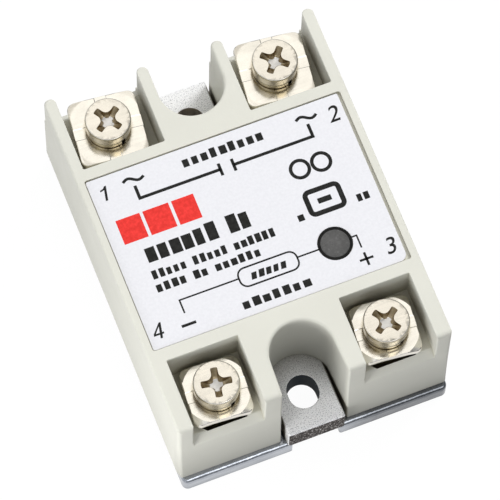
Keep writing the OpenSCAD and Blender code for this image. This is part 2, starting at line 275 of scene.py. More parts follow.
def hole_wall_metal():
    """Walls of the punched holes with drawn vertical lines; painted shade makes them dark blue-grey near the signal
    end and brown at the other.
    """
    s = Shader("hole_wall_metal")
    lines = s.noise(900, 3, 0.6, s.mapped((1, 1, 0.08)))
    # painted shade: the walls near the signal end darker and cooler than at the other end
    cool = s.ramp(lines, (0.35, (0.018, 0.024, 0.030)), (0.7, (0.055, 0.068, 0.080)))
    warm = s.ramp(lines, (0.35, (0.15, 0.12, 0.09)), (0.7, (0.36, 0.31, 0.25)))
    far = s.ramp(s.math("MULTIPLY", s.axis("Y"), 1 / MM), (0.0, 0.0), (1.0, 1.0))
    s.feed("Base Color", s.mix(far, cool, warm))
    s.roughness(lines, 0.5, 0.7)
    s.bump(lines, 0.03, 0.5)
    return s.set(Specular_IOR_Level=0.05).material


def shaded_recess():
    """Walls of the cross recess, painted brown as shade and warm reflection."""
    s = Shader("shaded_recess_metal")
    clouds = s.noise(900, 4, 0.6)
    s.feed("Base Color", s.spread(clouds, (0.34, 0.27, 0.16), (0.58, 0.48, 0.32)))
    s.roughness(clouds, 0.28, 0.5)
    s.bump(clouds, 0.03, 0.5)
    return s.set(Metallic=1.0).material


def window_lens():
    """Smoked lens: dark grey with pale specks inside."""
    s = Shader("window_lens")
    speck = s.ramp(s.noise(1500, 4, 0.8), (0.42, (0.040, 0.039, 0.037)), (0.58, (0.075, 0.074, 0.071)), (0.70, 0.20))
    s.feed("Base Color", s.mix(0.5, speck, s.spread(s.noise(420, 3), 0.065, 0.105)))
    s.roughness(s.noise(1000, 3), 0.22, 0.42)
    s.bump(s.noise(1500, 3, 0.7), 0.03, 0.5)
    return s.set(IOR=1.5, Coat_Weight=0.3, Coat_Roughness=0.25).material


def simple(name, dark, light, rough, metallic=0.0, scale=500, depth=0.03, **fixed):
    """A two-tone mottled material, mostly for the pieces inside the housing."""
    s = Shader(name)
    clouds = s.noise(scale, 4, 0.6)
    s.feed("Base Color", s.spread(clouds, dark, light))
    s.roughness(s.noise(scale * 2, 3), rough - 0.07, rough + 0.07)
    s.bump(clouds, depth, 0.5)
    return s.set(Metallic=metallic, **fixed).material


HOUSING = plastic_housing()
LABEL = label_film()
BLACK_INK = ink("black_ink", (0.012, 0.012, 0.011), 0.55)
RED_INK = ink("red_ink", (0.72, 0.035, 0.028), 0.5)
HEAD = nickel("screw_nickel", (0.94, 0.89, 0.79), 0.18, 0.08)
RIM_INK = ink("window_rim_ink", (0.006, 0.006, 0.005), 0.75)
PLATE = nickel("plate_nickel", (0.98, 0.94, 0.85), 0.13, 0.22, 1.0)
WASHER = nickel("washer_nickel", (0.72, 0.66, 0.51), 0.15, 0.10)
# painted shade: a darker copy of the screw nickel for the sides of the heads
HEAD_SIDE_SHADED = nickel("head_side_shaded_nickel", (0.66, 0.59, 0.44), 0.12, 0.20)
CONTACT = nickel("contact_nickel", (0.82, 0.79, 0.70), 0.28, 0.05)
# painted shade and warm reflection inside the cross recesses
RECESS = shaded_recess()
RECESS_FLOOR = simple("recess_floor", (0.72, 0.70, 0.66), (0.95, 0.94, 0.92), 0.35, 0.5, 900)
FLANGE = plated_flange()
GRANULAR = granular_metal()
TORN = torn_metal()
HOLE_WALL = hole_wall_metal()
LENS = window_lens()
COPPER = simple("copper", (0.62, 0.27, 0.15), (0.85, 0.45, 0.28), 0.3, 1.0, 350)
TIN = simple("tinned", (0.55, 0.55, 0.52), (0.78, 0.77, 0.73), 0.3, 1.0, 350)


# ---------------------------------------------------------------- mesh tools

def new_object(name, mesh, *materials):
    obj = bpy.data.objects.new(name, mesh)
    bpy.context.scene.collection.objects.link(obj)
    for material in materials:
        mesh.materials.append(material)
    return obj


def from_bmesh(name, bm, *materials):
    """A new object from bm, whose coordinates are millimetres."""
    bmesh.ops.scale(bm, vec=(MM, MM, MM), verts=bm.verts)
    bmesh.ops.recalc_face_normals(bm, faces=bm.faces)
    mesh = bpy.data.meshes.new(name)
    bm.to_mesh(mesh)
    bm.free()
    mesh.shade_smooth()
    mesh.set_sharp_from_angle(angle=math.radians(35))
    return new_object(name, mesh, *materials)


def repaint(obj, *materials):
    """Gives the object these materials and no others."""
    obj.data.materials.clear()
    for material in materials:
        obj.data.materials.append(material)


def apply_modifiers(obj):
    depsgraph = bpy.context.evaluated_depsgraph_get()
    mesh = bpy.data.meshes.new_from_object(obj.evaluated_get(depsgraph))
    obj.modifiers.clear()
    obj.data = mesh


def combine(obj, other, operation):
    """Boolean of two closed meshes; the second is used up."""
    modifier = obj.modifiers.new("combine", "BOOLEAN")
    modifier.operation = operation
    modifier.solver = "MANIFOLD"
    modifier.object = other
    apply_modifiers(obj)
    bpy.data.objects.remove(other)


def finish_shading(obj, sharp=38.0):
    """Cleans up after booleans and lets the large flat faces set the normals."""
    bm = bmesh.new()
    bm.from_mesh(obj.data)
    bmesh.ops.remove_doubles(bm, verts=bm.verts, dist=1e-6)
    bmesh.ops.dissolve_limit(bm, angle_limit=math.radians(0.2), verts=bm.verts, edges=bm.edges)
    for edge in bm.edges:
        edge.smooth = len(edge.link_faces) == 2 and edge.calc_face_angle() < math.radians(sharp)
    for face in bm.faces:
        face.smooth = True
    bm.to_mesh(obj.data)
    bm.free()
    normals = obj.modifiers.new("normals", "WEIGHTED_NORMAL")
    normals.keep_sharp = True
    normals.weight = 90
    apply_modifiers(obj)


def bridge(bm, lower, upper):
    count = len(lower)
    for i in range(count):
        j = (i + 1) % count
        bm.faces.new((lower[i], lower[j], upper[j], upper[i]))


def tower(rings):
    """A closed bmesh through rings of equal length, each a list of (x, y, z), with flat ends."""
    bm = bmesh.new()
    rows = [[bm.verts.new(p) for p in ring] for ring in rings]
    for lower, upper in zip(rows, rows[1:]):
        bridge(bm, lower, upper)
    bm.faces.new(list(reversed(rows[0])))
    bm.faces.new(rows[-1])
    return bm


def tube(rings):
    """A closed bmesh through rings that come back to the first one, such as a washer."""
    bm = bmesh.new()
    rows = [[bm.verts.new(p) for p in ring] for ring in rings]
    for lower, upper in zip(rows, rows[1:] + rows[:1]):
        bridge(bm, lower, upper)
    return bm


def lathe(profile, segments=72, centre=(0, 0, 0)):
    """A closed solid of revolution; the profile runs from the axis round to the axis."""
    bm = bmesh.new()
    rows = []
    for radius, z in profile:
        count = segments if radius > 0 else 1
        rows.append([bm.verts.new((centre[0] + radius * math.cos(2 * math.pi * i / segments),
                                   centre[1] + radius * math.sin(2 * math.pi * i / segments),
                                   centre[2] + z)) for i in range(count)])
    for a, b in zip(rows, rows[1:]):
        for i in range(segments):
            j = (i + 1) % segments
            face = [a[i % len(a)], a[j % len(a)], b[j % len(b)], b[i % len(b)]]
            bm.faces.new(list(dict.fromkeys(face)))
    return bm


def inset_corners(corners):
    """The corners moved inwards by each edge's own amount; an edge starts at its corner."""
    moved = []
    count = len(corners)
    for i, (x, y, radius, amount) in enumerate(corners):
        before, after = corners[i - 1], corners[(i + 1) % count]
        u = Vector((x - before[0], y - before[1])).normalized()
        v = Vector((after[0] - x, after[1] - y)).normalized()
        nu, nv = Vector((-u.y, u.x)), Vector((-v.y, v.x))
        turn = u.x * v.y - u.y * v.x
        a, b = before[3], amount
        if abs(turn) < 1e-4:
            shift = nu * a
        else:
            shift = nu * a - u * (b - a * nu.dot(nv)) / turn
        new_radius = max(0.1, radius - (a + b) / 2) if turn > 0 else radius + (a + b) / 2
        moved.append((x + shift.x, y + shift.y, new_radius if radius > 0 else 0, amount))
    return moved


def rounded(corners, steps=6):
    """Points along the outline, and for each the top radius there. Corners run anticlockwise."""
    points, radii = [], []
    count = len(corners)
    for i, (x, y, radius, amount) in enumerate(corners):
        before = corners[i - 1]
        after = corners[(i + 1) % count]
        if radius <= 0:
            points.append((x, y))
            radii.append((before[3] + amount) / 2)
            continue
        here = Vector((x, y))
        u = (Vector(before[:2]) - here).normalized()
        v = (Vector(after[:2]) - here).normalized()
        half = u.angle(v) / 2
        reach = radius / math.tan(half)
        centre = here + (u + v).normalized() * (radius / math.sin(half))
        start, end = here + u * reach - centre, here + v * reach - centre
        sweep = start.angle_signed(end)
        for k in range(steps + 1):
            t = k / steps
            arm = Matrix.Rotation(-sweep * t, 2) @ start
            points.append((centre.x + arm.x, centre.y + arm.y))
            radii.append(before[3] * (1 - t) + amount * t)
    return points, radii


def soft_prism(corners, bottom, top, curve=5, steps=6, foot=0.0, waist=None):
    """An upright prism whose top edge is rounded by each corner's own amount.

    foot rounds the lower edge by that much, and waist adds a ring at that height.
    """
    outer, radii = rounded(corners, steps)
    inner, _ = rounded(inset_corners(corners), steps)
    rings = []
    if foot:
        rings.append([(a[0] + (b[0] - a[0]) * foot / r, a[1] + (b[1] - a[1]) * foot / r, bottom)
                      for a, b, r in zip(outer, inner, radii)])
    for z in [bottom + foot] + ([waist] if waist else []):
        rings.append([(*a, z) for a in outer])
    for k in range(curve + 1):
        angle = math.pi / 2 * k / curve
        move, drop = 1 - math.cos(angle), 1 - math.sin(angle)
        rings.append([(a[0] + (b[0] - a[0]) * move, a[1] + (b[1] - a[1]) * move, top - r * drop)
                      for a, b, r in zip(outer, inner, radii)])
    return tower(rings)


def spun(section, angle, centre=(0, 0, 0)):
    """The (radius, z) section turned to that angle about an upright axis."""
    return [(centre[0] + r * math.cos(angle), centre[1] + r * math.sin(angle), centre[2] + z) for r, z in section]


def along_x(profile, x0, x1):
    """A prism along X with that (y, z) profile."""
    return tower([[(x0, y, z) for y, z in profile], [(x1, y, z) for y, z in profile]])


def mirrored(corners):
    """The right half of an outline, from the bottom up to the top, made whole across X = 0.

    Each corner holds the amount of the edge after it, so the mirrored half takes its neighbour's.
    """
    left = []
    for i in range(len(corners) - 1, -1, -1):
        x, y, radius, _ = corners[i]
        amount = corners[i - 1][3] if i > 0 else corners[0][3]
        if x > 1e-6:
            left.append((-x, y, radius, amount))
    return corners + left


def place(obj, body, slot, *nodes):
    """Rides the piece on the body in place of the CAD nodes; slot is not used."""
    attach(obj, body)
    if nodes:
        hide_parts(*nodes)
    return obj


def paint_faces(obj, index, test):
    """Gives the faces whose middle and normal pass the test the material at that index."""
    for face in obj.data.polygons:
        if test(face.center / MM, face.normal):
            face.material_index = index


def arc(centre, radius, start, end, steps):
    """Points along an arc, with its angles in degrees."""
    angles = [math.radians(start + (end - start) * k / steps) for k in range(steps + 1)]
    return [(centre[0] + radius * math.cos(a), centre[1] + radius * math.sin(a)) for a in angles]


# ---------------------------------------------------------------- housing

SKIN = 0.012    # the visual shell lies this far inside the CAD shell
HAIR = 0.004    # the lower part lies this far inside the upper part
HALF_W = 22.35
NEAR_IN, NEAR_OUT, NEAR_BACK = 8.25, 19.75, -16.95
FAR_IN, FAR_OUT, FAR_BACK = 7.1, 20.45, 16.75
NEAR_NOTCH_Y, NEAR_NOTCH_R = -23.0, 5.12
FAR_NOTCH_Y, FAR_NOTCH_R = 24.2, 5.2
SILL_FRONT, SILL = 14.4, 15.7
BASE_TOP, END_LEAN = 3.0, 0.55
SIDE_SOFT, POCKET_SOFT, NOTCH_SOFT, TIP_SOFT = 0.45, 0.16, 0.5, 0.85
TIP_R = (HALF_W - FAR_OUT) / 2 - 0.02


def notch(centre_y, radius, start, end):
    """The round end of a mounting notch as corners without a radius of their own."""
    return [(x, y, 0, NOTCH_SOFT) for x, y in arc((0, centre_y), radius, start, end, 40)]


def between_notches(corners):
    """The whole outline, anticlockwise from the middle of the signal-end notch; corners are its right half."""
    return mirrored(notch(NEAR_NOTCH_Y, NEAR_NOTCH_R, 90, 0) + corners + notch(FAR_NOTCH_Y, FAR_NOTCH_R, 0, -90))


def within(corners):
    """The corners a hair inside the CAD shell, so that no two faces share a plane."""
    moved = inset_corners([(x, y, radius, SKIN) for x, y, radius, _ in corners])
    return [(x, y, radius, old[3]) for (x, y, radius, _), old in zip(moved, corners)]


def upper_outline():
    """The shell above the sills, with its open pockets."""
    near_tips = [
        (NEAR_MOUTH, NEAR_END, 0.35, TIP_SOFT),
        (NEAR_IN, NEAR_END, 0.3, POCKET_SOFT),
        (NEAR_IN, NEAR_BACK, 0.25, POCKET_SOFT),
        (NEAR_OUT, NEAR_BACK, 0.25, POCKET_SOFT),
        (NEAR_OUT, NEAR_END, 0.3, TIP_SOFT),
        (HALF_W, NEAR_END, 0.7, SIDE_SOFT),
    ]
    far_tips = [
        (HALF_W, FAR_END, TIP_R, 0.5),
        (FAR_OUT, FAR_END, TIP_R, POCKET_SOFT),
        (FAR_OUT, FAR_BACK, 0.25, POCKET_SOFT),
        (FAR_IN, FAR_BACK, 0.25, POCKET_SOFT),
        (FAR_IN, FAR_END, TIP_R, 0.5),
        (FAR_NOTCH_R, FAR_END, TIP_R, NOTCH_SOFT),
    ]
    return between_notches(near_tips + far_tips)


def lower_outline():
    """The shell below the sills, where the pockets are closed."""
    return between_notches([
        (NEAR_MOUTH, NEAR_END + HAIR, 0.3, 0.2),
        (HALF_W - HAIR, NEAR_END + HAIR, 0.7, 0.2),
        (HALF_W - HAIR, FAR_END - HAIR, 0.35, 0.25),
        (FAR_NOTCH_R, FAR_END - HAIR, 0.3, 0.25),
    ])


def sill_profile(end, inward):
    """What is cut off along a sill: two soft turns with the 45 degree bevel between them."""
    turn = 0.25
    step = turn * math.sqrt(0.5)
    rise = SILL - SILL_FRONT
    line = [(-1, SILL_FRONT - turn), (0, SILL_FRONT - turn), (step * 0.35, SILL_FRONT + step * 0.1),
            (step, SILL_FRONT + step), (rise - step, SILL - step), (rise - step * 0.1, SILL - step * 0.35),
            (rise + turn, SILL), (rise + turn, SILL + 1), (-1, SILL + 1)]
    return [(end + inward * depth, z) for depth, z in line]


def lean(bm):
    """Lets the signal end wall lean out towards its foot."""
    for v in bm.verts:
        below = max(0.0, SILL_FRONT - v.co.z) / (SILL_FRONT - BASE_TOP)
        share = min(1.0, max(0.0, (NEAR_END + 0.35 - v.co.y) / 0.3))
        v.co.y -= END_LEAN * below * share
    return bm


def build_housing():
    """The pocketed upper part and the closed lower part, joined and then cut to the CAD shell's hollow inside."""
    upper = soft_prism(within(upper_outline()), BASE_TOP - 0.05, TOP - SKIN, waist=SILL_FRONT)
    shell = from_bmesh("housing_shell", lean(upper))
    lower = soft_prism(within(lower_outline()), BASE_TOP - 0.1, SILL - SKIN, 3, waist=SILL_FRONT)
    lower = from_bmesh("housing_lower", lean(lower))
    for side in (-1, 1):
        for end, inward, inner, outer in ((NEAR_END, 1, NEAR_IN, NEAR_OUT), (FAR_END, -1, FAR_IN, FAR_OUT)):
            x0, x1 = sorted((side * (inner - 0.02), side * (outer + 0.02)))
            cutter = from_bmesh("sill_cut", along_x(sill_profile(end, inward), x0, x1))
            combine(lower, cutter, "DIFFERENCE")
    combine(shell, lower, "UNION")
    solid = bmesh.new()
    solid.from_mesh(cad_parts["housing"].data)
    bmesh.ops.remove_doubles(solid, verts=solid.verts, dist=1e-6)
    bmesh.ops.scale(solid, vec=(1 / MM, 1 / MM, 1 / MM), verts=solid.verts)
    combine(shell, from_bmesh("housing_copy", solid), "INTERSECT")
    repaint(shell, HOUSING)
    finish_shading(shell)
    place(shell, ROOT, "housing_plastic", "housing")


build_housing()


# ---------------------------------------------------------------- base plate and heat spreader

PLATE_W, PLATE_L, PLATE_T = 44.0, 60.2, 3.0
SLOT_W = 7.8
HOLE_Y, HOLE_W, HOLE_L = 24.0, 4.8, 5.4
TONGUE_W = 9.4
SPREADER_W, SPREADER_L, SPREADER_TOP = 39.0, 29.2, 7.5


def build_base_plate():
    end = PLATE_L / 2
    slot = [(x, y, 0, 0.12) for x, y in arc((0, HOLE_Y), SLOT_W / 2, 0, -90, 14)]
    near_slot = [(x, -y, r, amount) for x, y, r, amount in reversed(slot)]
    half = near_slot + [
        (SLOT_W / 2, -end, 0.35, 0.75),
        (PLATE_W / 2, -end, 1.0, 0.3),
        (PLATE_W / 2, end, 1.0, 0.75),
        (SLOT_W / 2, end, 0.35, 0.12),
    ] + slot
    plate = from_bmesh("base_plate_rolled", soft_prism(mirrored(half), 0, PLATE_T, 6, 6, foot=0.15), FLANGE)
    finish_shading(plate)
    place(plate, ROOT, "plated_steel", "base_plate")


def hole_outline(grow=0.0):
    r = HOLE_W / 2 + grow
    shift = (HOLE_L - HOLE_W) / 2
    return arc((0, shift), r, 0, 180, 24) + arc((0, -shift), r, 180, 360, 24)


def build_spreader():
    half_t, half_w, half_l, end = TONGUE_W / 2, SPREADER_W / 2, SPREADER_L / 2, PLATE_L / 2
    outline = mirrored([
        (half_t, -end, 0.35, 0.3), (half_t, -half_l, 0.3, 0.3), (half_w, -half_l, 0.6, 0.3),
        (half_w, half_l, 0.6, 0.3), (half_t, half_l, 0.3, 0.3), (half_t, end, 0.35, 0.3),
    ])
    block = from_bmesh("heat_spreader_cast", soft_prism(outline, PLATE_T, SPREADER_TOP, 3, 4))
    rim = 0.22
    levels = ((0, 2), (0, SPREADER_TOP - rim), (rim * 0.3, SPREADER_TOP - rim * 0.3), (rim, SPREADER_TOP),
              (rim * 2, SPREADER_TOP + 1))
    for y in (-HOLE_Y, HOLE_Y):
        rings = [[(x, y + dy, z) for x, dy in hole_outline(grow)] for grow, z in levels]
        combine(block, from_bmesh("hole", tower(rings)), "DIFFERENCE")
    repaint(block, GRANULAR, TORN, HOLE_WALL)
    finish_shading(block)
    paint_faces(block, 1, lambda c, n: abs(c.y) > end - 0.25 and abs(n.y) > 0.8)
    paint_faces(block, 2, lambda c, n: abs(n.z) < 0.5 and abs(c.x) < 2.6 and 20 < abs(c.y) < 28)
    place(block, ROOT, "cast_aluminium", "heat_spreader")


build_base_plate()
build_spreader()


# ---------------------------------------------------------------- terminals

HEAD_Z, HEAD_R, HEAD_H = 19.6, 3.6, 2.4
SHANK_R, SHANK_L = 1.95, 8.0
WASHER_Z, WASHER_H, WASHER_R = 18.5, 1.05, 3.45
CLAMP_Z, CLAMP_T, CLAMP_HOLE = 17.5, 1.0, 2.04
BAND_W = 1.9


def turned(obj, terminal, z, degrees):
    """Bakes the place of a terminal piece into its mesh."""
    x, y = TERMINALS[terminal]
    obj.data.transform(Matrix.Translation((x * MM, y * MM, z * MM)) @ Matrix.Rotation(math.radians(degrees), 4, "Z"))
    return obj


def cross_ring(length, width, corner, z):
    """One ring of the cross recess: four arms with hollow corners between them."""
    ring = []
    for quarter in range(4):
        turn = Matrix.Rotation(math.pi / 2 * quarter, 2)
        tip = [(length, -width * 0.8), (length * 1.02, 0), (length, width * 0.8), (length - 0.12, width)]
        hollow = [(width + corner * (1 - math.sin(a)), width + corner * (1 - math.cos(a)))
                  for a in (math.radians(15 * k) for k in range(7))]
        for point in tip + hollow + [(width, length - 0.12)]:
            p = turn @ Vector(point)
            ring.append((p.x, p.y, z))
    return ring


def build_screw(terminal):
    """A pan head with a cross recess on a threaded shank."""
    profile = [
        (0, 0), (3.05, 0), (HEAD_R - 0.25, 0.06), (HEAD_R - 0.07, 0.26), (HEAD_R, 0.55), (HEAD_R, HEAD_H - 0.30),
        (HEAD_R - 0.02, HEAD_H - 0.20), (HEAD_R - 0.07, HEAD_H - 0.10), (HEAD_R - 0.14, HEAD_H - 0.035),
        (HEAD_R - 0.22, HEAD_H - 0.01), (2.7, HEAD_H), (0, HEAD_H),
    ]
    head = from_bmesh(f"terminal_screw_head_{terminal}", lathe(profile))
    floor = HEAD_H - 1.15
    rings = [
        cross_ring(0.62, 0.30, 0.25, floor - 0.16), cross_ring(1.0, 0.36, 0.4, floor - 0.1),
        cross_ring(1.5, 0.40, 0.55, floor + 0.1), cross_ring(2.26, 0.50, 0.85, HEAD_H - 0.14),
        cross_ring(2.40, 0.56, 0.92, HEAD_H + 0.02), cross_ring(2.7, 0.7, 1.1, HEAD_H + 0.4),
    ]
    combine(head, from_bmesh("cross", tower(rings)), "DIFFERENCE")

    pitch, per_turn, around = 0.7, 6, 32
    rows = []
    steps = int(SHANK_L / pitch * per_turn)
    for k in range(steps + 1):
        z = -SHANK_L + k * SHANK_L / steps
        ring = []
        for i in range(around):
            angle = 2 * math.pi * i / around
            phase = (z / pitch - i / around) % 1.0
            depth = 0.24 * abs(2 * phase - 1)
            taper = min(1.0, 0.62 + (z + SHANK_L) * 0.5)
            r = (SHANK_R - depth) * taper
            ring.append((r * math.cos(angle), r * math.sin(angle), z))
        rows.append(ring)
    rows.append([(x, y, 0.3) for x, y, _ in rows[-1]])
    combine(head, from_bmesh("shank", tower(rows)), "UNION")
    repaint(head, HEAD, RECESS, RECESS_FLOOR, HEAD_SIDE_SHADED)
    finish_shading(head, 32)
    # painted shade: the recess walls take the brown metal
    paint_faces(head, 1, lambda c, n: math.hypot(c.x, c.y) < 2.7 and floor - 0.14 < c.z < HEAD_H - 0.03)
    paint_faces(head, 2, lambda c, n: math.hypot(c.x, c.y) < 1.1 and n.z > 0.5 and 0.4 < c.z < floor - 0.05)
    # painted shade: the sides of the heads take the darker nickel
    paint_faces(head, 3, lambda c, n: math.hypot(c.x, c.y) > HEAD_R - 0.06 and abs(n.z) < 0.75)
    turned(head, terminal, HEAD_Z, CROSS_TURN[terminal])
    place(head, f"terminal_{terminal}_screw", "screw_metal", f"terminal_screw_{terminal}")


def build_washer(terminal):
    """A split spring washer of square section whose ends part slightly in height."""
    inner, outer, gap, spring = CLAMP_HOLE + 0.03, WASHER_R, 6.5, 0.09
    round_off = 0.12
    top = WASHER_H - 0.1
    section = [
        (inner + round_off, 0), (outer - round_off, 0), (outer, round_off), (outer, top - round_off),
        (outer - round_off, top), (inner + round_off, top), (inner, top - round_off), (inner, round_off),
    ]
    rings = []
    steps = 60
    for k in range(steps + 1):
        share = k / steps
        angle = math.radians(gap + (360 - 2 * gap) * share)
        rise = spring * (share - 0.5) + spring / 2
        rings.append(spun(section, angle, (0, 0, rise)))
    washer = from_bmesh(f"lock_washer_split_{terminal}", tower(rings), WASHER)
    turned(washer, terminal, WASHER_Z, CLAMP_TURN[terminal] - 60)
    place(washer, f"terminal_{terminal}_clamp", "screw_metal", f"lock_washer_{terminal}")


def square_edge(half, corner, angle):
    """Distance from the middle of a rounded square to its edge in that direction."""
    c, s = abs(math.cos(angle)), abs(math.sin(angle))
    c, s = max(c, s), min(c, s)
    flat = half - corner
    if half / c * s <= flat:
        return half / c
    along = flat * (c + s)
    return along + math.sqrt(max(0.0, along * along - (2 * flat * flat - corner * corner)))


def build_clamp(terminal):
    """A pressed plate: its corners turn down outside a circle and a sunk cross parts the four fields."""
    half = CLAMP_SIDE[terminal] / 2
    corner, circle, slope = 1.25, half * 1.09, CLAMP_SLOPE[terminal]
    around = 160

    def ring(inwards, z, furthest=half * 2):
        """A ring that far in from the edge, and no further out than that from the middle."""
        points = []
        for i in range(around):
            angle = 2 * math.pi * i / around
            r = min(square_edge(half, corner, angle) - inwards, furthest)
            points.append((r * math.cos(angle), r * math.sin(angle), z - slope * max(0.0, r - circle)))
        return points

    rings = [
        ring(0, 0, CLAMP_HOLE), ring(0.3, 0, circle), ring(0.12, 0), ring(0, 0.14), ring(0, CLAMP_T - 0.3),
        ring(0.06, CLAMP_T - 0.07), ring(0.18, CLAMP_T), ring(0.34, CLAMP_T, circle), ring(0, CLAMP_T, CLAMP_HOLE),
    ]
    plate = from_bmesh(f"clamp_plate_pressed_{terminal}", tube(rings))
    sunk, wall, half_band = 0.055, 0.062, BAND_W / 2
    for degrees in (0, 90):
        right = [(half_band - wall, CLAMP_T - sunk), (half_band + wall, CLAMP_T + 0.01),
                 (half_band + wall, CLAMP_T + 1)]
        profile = [(-right[0][0], right[0][1])] + right + [(-y, z) for y, z in right[:0:-1]]
        band = from_bmesh("band", along_x(profile, -12, 12))
        band.data.transform(Matrix.Rotation(math.radians(degrees), 4, "Z"))
        combine(plate, band, "DIFFERENCE")
    repaint(plate, PLATE)
    finish_shading(plate, 14)
    turned(plate, terminal, CLAMP_Z, CLAMP_TURN[terminal])
    place(plate, f"terminal_{terminal}_clamp", "screw_metal", f"clamp_plate_{terminal}")


for number in TERMINALS:
    build_screw(number)
    build_washer(number)
    build_clamp(number)


# ---------------------------------------------------------------- label and its print

LABEL_W, LABEL_L, LABEL_FLOOR = 41.9, 29.4, 22.4
PRINT_Z, PRINT_T = LABEL_TOP - 0.006, 0.018
NUMBER_LEAN = 0.21
WINDOW_R = 2.7


def build_label():
    half_w, half_l, soft = LABEL_W / 2, LABEL_L / 2, 0.06
    right = half_w - 0.35
    outline = [(-half_w, -half_l, 0.3, soft), (right, -half_l, 1.25, soft),
               (right, half_l, 0.3, soft), (-half_w, half_l, 0.3, soft)]
    sheet = from_bmesh("label_sheet", soft_prism(outline, LABEL_FLOOR, LABEL_TOP, 2, 8))
    rim = arc(WINDOW, WINDOW_R + 0.06, 0, 354, 59)
    opening = tower([[(x, y, z) for x, y in rim] for z in (22, 23)])
    combine(sheet, from_bmesh("opening", opening), "DIFFERENCE")
    repaint(sheet, LABEL)
    finish_shading(sheet)
    place(sheet, ROOT, "label_film", "label")


class Print:
    """Printed shapes as thin closed solids on the label, gathered into one mesh."""

    def __init__(self):
        self.bm = bmesh.new()

    def outline(self, points):
        low = [self.bm.verts.new((x, y, PRINT_Z)) for x, y in points]
        high = [self.bm.verts.new((x, y, PRINT_Z + PRINT_T)) for x, y in points]
        bridge(self.bm, low, high)
        self.bm.faces.new(list(reversed(low)))
        self.bm.faces.new(high)

    def bar(self, x0, x1, y0, y1):
        self.outline([(x0, y0), (x1, y0), (x1, y1), (x0, y1)])

    def stroke(self, points, width):
        """A line of even width through the points, with square ends."""
        points = [Vector(p) for p in points]
        left, right = [], []
        for i, p in enumerate(points):
            before = (p - points[i - 1]).normalized() if i else (points[1] - p).normalized()
            after = (points[i + 1] - p).normalized() if i + 1 < len(points) else before
            middle = (before + after).normalized()
            side = Vector((-middle.y, middle.x)) * (width / 2 / max(0.4, middle.dot(before)))
            left.append(p + side)
            right.append(p - side)
        self.outline([tuple(p) for p in right + left[::-1]])

    def pierced(self, outer, inner):
        """A flat shape with one opening."""
        rims = [[[self.bm.verts.new((x, y, z)) for x, y in ring] for ring in (outer, inner)]
                for z in (PRINT_Z, PRINT_Z + PRINT_T)]
        for low, high in zip(*rims):
            bridge(self.bm, low, high)
        for level in rims:
            edges = [self.bm.edges.get((a, b)) for ring in level for a, b in zip(ring, ring[1:] + ring[:1])]
            bmesh.ops.triangle_fill(self.bm, use_beauty=True, use_dissolve=False, edges=edges)
        bmesh.ops.recalc_face_normals(self.bm, faces=self.bm.faces)

    def loop(self, points, width):
        """A closed line of even width."""
        count = len(points)
        rows = []
        for i in range(count):
            p = Vector(points[i])
            along = (Vector(points[(i + 1) % count]) - Vector(points[i - 1])).normalized()
            side = Vector((-along.y, along.x)) * width / 2
            a, b = p - side, p + side
            rows.append([self.bm.verts.new((*q, z)) for q, z in
                         ((a, PRINT_Z), (b, PRINT_Z), (b, PRINT_Z + PRINT_T), (a, PRINT_Z + PRINT_T))])
        for row, following in zip(rows, rows[1:] + rows[:1]):
            bridge(self.bm, row, following)

    def words(self, x0, x1, y0, y1, letters, slant=0.0, fill=0.72, seed=1):
        """Plain blocks in the rhythm of a line of text; letters is the length of each word."""
        rng = random.Random(seed)
        space = 0.75
        total = sum(letters) + space * (len(letters) - 1)
        pitch = (x1 - x0) / total
        x = x0
        for length in letters:
            for _ in range(length):
                width = pitch * fill * rng.uniform(0.85, 1.08)
                high = y1 - (y1 - y0) * rng.choice((0.0, 0.12, 0.2))
                shift = slant * (high - y0)
                self.outline([(x, y0), (x + width, y0), (x + width + shift, high), (x + shift, high)])
                x += pitch
            x += pitch * space

    def make(self, name, material):
        place(from_bmesh(name, self.bm, material), ROOT, "label_film")


def leaning(points, x, y):
    """Points of a slanted terminal number, whose foot stands at (x, y)."""
    return [(x + a + NUMBER_LEAN * b, y + b) for a, b in points]


def numeral(text, x, y, height):
    """A slanted terminal number from Blender's own built-in lettering, as a thin closed solid."""
    curve = bpy.data.curves.new(f"numeral_{text}", "FONT")
    curve.body = text
    curve.size = height / 0.7 * MM
    curve.align_x = "CENTER"
    curve.extrude = PRINT_T / 2 * MM
    curve.resolution_u = 6
    curve.offset = height * 0.006 * MM
    maker = bpy.data.objects.new("maker", curve)
    bpy.context.scene.collection.objects.link(maker)
    bpy.context.view_layer.update()
    mesh = bpy.data.meshes.new_from_object(maker.evaluated_get(bpy.context.evaluated_depsgraph_get()))
    bpy.data.objects.remove(maker)
    middle = [(min(v.co[i] for v in mesh.vertices) + max(v.co[i] for v in mesh.vertices)) / 2 for i in (0, 1)]
    mesh.transform(Matrix.Translation((-middle[0], -middle[1], 0)))
    mesh.transform(Matrix(((1, NUMBER_LEAN, 0, 0), (0, 1, 0, 0), (0, 0, 1, 0), (0, 0, 0, 1))))
    mesh.transform(Matrix.Translation((x * MM, y * MM, (PRINT_Z + PRINT_T / 2) * MM)))
    mesh.materials.clear()
    obj = new_object(f"print_number_{text}", mesh, BLACK_INK)
    weld = bmesh.new()
    weld.from_mesh(mesh)
    bmesh.ops.remove_doubles(weld, verts=weld.verts, dist=1e-7)
    weld.to_mesh(mesh)
    weld.free()
    place(obj, ROOT, "label_film")


def tilde(x, y, width, height):
    """Points of the alternating-current sign."""
    shares = [t / 12 for t in range(13)]
    return [(x + width * (t - 0.5), y + height / 2 * math.sin(2 * math.pi * t) + height * 0.12 * t) for t in shares]


def frame_points(x0, x1, y0, y1, corner, steps):
    """Points round a box with rounded corners."""
    return rounded([(x, y, corner, 0) for x, y in ((x0, y0), (x1, y0), (x1, y1), (x0, y1))], steps)[0]


